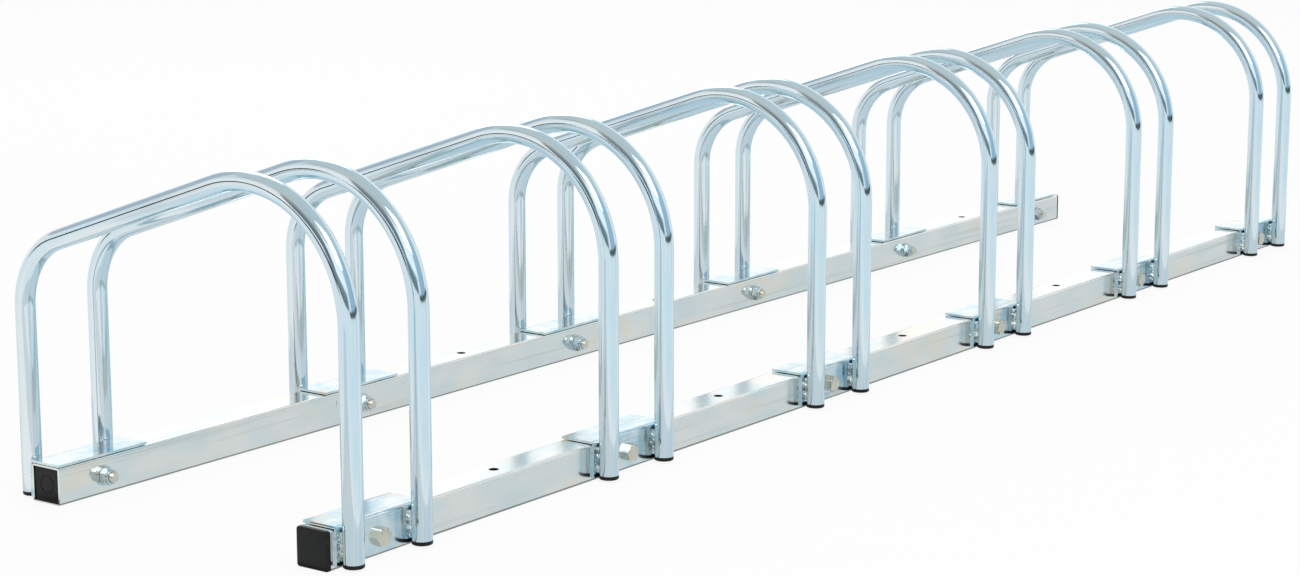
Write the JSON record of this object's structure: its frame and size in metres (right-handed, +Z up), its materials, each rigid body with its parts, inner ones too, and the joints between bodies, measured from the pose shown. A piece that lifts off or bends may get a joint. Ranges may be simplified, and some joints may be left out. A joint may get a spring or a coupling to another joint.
{
  "type": "floor bike rack",
  "caption": "Zinc-plated steel floor bike rack: pairs of tube hoops, tall at one side and sloping to the other, on brackets bolted across two square tube rails.",
  "frame": {"origin": "on the floor under the middle of the rack's outer box", "axes": "+X along the rails toward the picture's far right end, +Y from the near rail under the hoops' tall side to the far rail, +Z up"},
  "size_m": [1.612, 0.35, 0.278],
  "materials": {
    "hoop_zinc": "bright blue-white zinc plating on round steel tube",
    "rail_zinc": "satin zinc plating on square steel tube",
    "bracket_zinc": "bright zinc plating on bent steel strip",
    "weld_metal": "rippled weld metal under zinc plating",
    "fastener_zinc": "dull zinc plating on bolts, nuts and washers",
    "black_plastic": "moulded black plastic"
  },
  "bodies": {
    "root": {"near_rail_left": "rail_zinc", "near_rail_right": "rail_zinc", "far_rail_left": "rail_zinc", "far_rail_right": "rail_zinc", "near_rail_splice": "rail_zinc", "far_rail_splice": "rail_zinc", "hoop_1_left": "hoop_zinc", "hoop_1_right": "hoop_zinc", "hoop_2_left": "hoop_zinc", "hoop_2_right": "hoop_zinc", "hoop_3_left": "hoop_zinc", "hoop_3_right": "hoop_zinc", "hoop_4_left": "hoop_zinc", "hoop_4_right": "hoop_zinc", "hoop_5_left": "hoop_zinc", "hoop_5_right": "hoop_zinc", "hoop_6_left": "hoop_zinc", "hoop_6_right": "hoop_zinc", "near_bracket_1": "bracket_zinc", "far_bracket_1": "bracket_zinc", "near_bracket_2": "bracket_zinc", "far_bracket_2": "bracket_zinc", "near_bracket_3": "bracket_zinc", "far_bracket_3": "bracket_zinc", "near_bracket_4": "bracket_zinc", "far_bracket_4": "bracket_zinc", "near_bracket_5": "bracket_zinc", "far_bracket_5": "bracket_zinc", "near_bracket_6": "bracket_zinc", "far_bracket_6": "bracket_zinc", "near_weld_beads": "weld_metal", "far_weld_beads": "weld_metal", "near_leg_caps": "black_plastic", "far_leg_caps": "black_plastic", "near_left_end_plug": "black_plastic", "near_right_end_plug": "black_plastic", "far_left_end_plug": "black_plastic", "far_right_end_plug": "black_plastic", "near_bolts": "fastener_zinc", "far_bolts": "fastener_zinc", "near_nuts": "fastener_zinc", "far_nuts": "fastener_zinc", "near_nut_washers": "fastener_zinc", "far_nut_washers": "fastener_zinc"}
  },
  "joints": []
}
